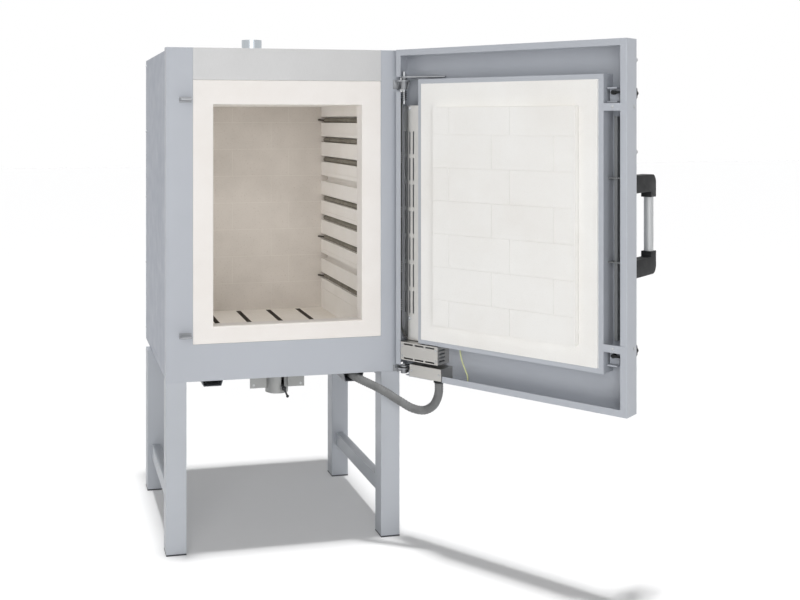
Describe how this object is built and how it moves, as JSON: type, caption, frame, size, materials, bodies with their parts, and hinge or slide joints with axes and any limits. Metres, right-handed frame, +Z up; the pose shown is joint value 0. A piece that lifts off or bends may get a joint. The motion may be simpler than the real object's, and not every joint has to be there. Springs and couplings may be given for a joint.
{
  "type": "chamber kiln",
  "caption": "Floor-standing front-loading chamber kiln with a hinged insulated door, heated side walls and a four-leg stand.",
  "frame": {"origin": "on the floor, at the middle of the stand's four feet", "axes": "+X to the right seen from the front, +Y into the kiln, +Z up"},
  "size_m": [1.5423, 1.6538, 1.875],
  "materials": {
    "paint_front": "satin powder coat, light blue grey",
    "paint_side": "satin powder coat, light blue grey",
    "stainless": "brushed",
    "zinc_plate": "zinc plated",
    "fibre_white": "matt fibre board",
    "brick_light": "matt insulating brick",
    "brick_grey": "matt insulating brick",
    "element_wire": "oxidised resistance wire on ceramic tube",
    "black_plastic": "fine grain",
    "black_steel": "blackened",
    "spring_steel": "oiled",
    "tube_silver": "satin",
    "conduit_grey": "ribbed",
    "earth_green": "yellow green sheath",
    "foot_dark": "dark"
  },
  "bodies": {
    "root": {"front_frame": "paint_front", "trim_panel": "stainless", "side_panel_left": "paint_side", "side_panel_right": "paint_side", "roof_panel": "paint_side", "rear_panel": "paint_side", "floor_pan": "zinc_plate", "collar_bricks": "fibre_white", "backup_insulation": "fibre_white", "wall_bricks_left": "brick_light", "wall_bricks_right": "brick_light", "rear_wall_bricks": "brick_grey", "hearth_bricks": "brick_grey", "ceiling_bricks": "brick_light", "elements_left": "element_wire", "elements_right": "element_wire", "elements_hearth": "element_wire", "exhaust_pipe": "stainless", "leg_front_left": "paint_front", "leg_front_right": "paint_front", "leg_rear_left": "paint_front", "leg_rear_right": "paint_front", "rail_left": "paint_side", "rail_right": "paint_side", "brace_left": "paint_side", "brace_right": "paint_side", "foot_plates": "foot_dark", "cable_duct_left": "paint_front", "cable_duct_right": "paint_front", "air_inlet_housing": "stainless", "catches": "zinc_plate", "hinge_bracket_top": "zinc_plate", "hinge_bracket_low": "zinc_plate", "conduit": "conduit_grey"},
    "door": {"door_pan": "paint_front", "plug_box": "stainless", "plug_webs": "zinc_plate", "door_fibre": "fibre_white", "door_plug": "fibre_white", "hinge_arm_top": "zinc_plate", "hinge_arm_low": "zinc_plate", "hinge_pin_top": "zinc_plate", "hinge_pin_low": "zinc_plate", "hinge_spring": "spring_steel", "cable_cover": "stainless", "upper_box": "stainless", "lower_box": "stainless", "conduit_gland": "black_plastic", "earth_wire": "earth_green", "lock_plates": "zinc_plate", "handle_bracket_top": "black_plastic", "handle_bracket_low": "black_plastic", "handle_tube": "tube_silver"},
    "upper_lock": {"lock_top": "black_plastic"},
    "lower_lock": {"lock_low": "black_plastic"},
    "inlet_slide": {"air_slide": "black_steel"}
  },
  "joints": [
    {"name": "door_hinge", "type": "hinge", "parent": "root", "child": "door", "pos_m": [0.436, -0.411, 1.2], "axis": [0, 0, 1], "range_deg": [-126, 4], "deforming": ["conduit"]},
    {"name": "upper_lock_turn", "type": "hinge", "parent": "door", "child": "upper_lock", "pos_m": [0.94771, -1.02684, 1.625], "axis": [-0.809, -0.5878, 0], "range_deg": [-90, 0]},
    {"name": "lower_lock_turn", "type": "hinge", "parent": "door", "child": "lower_lock", "pos_m": [0.94771, -1.02684, 0.791], "axis": [-0.809, -0.5878, 0], "range_deg": [-90, 0]},
    {"name": "air_slide_travel", "type": "slide", "parent": "root", "child": "inlet_slide", "axis": [0, 0, 1], "range_m": [0, 0.04]}
  ]
}
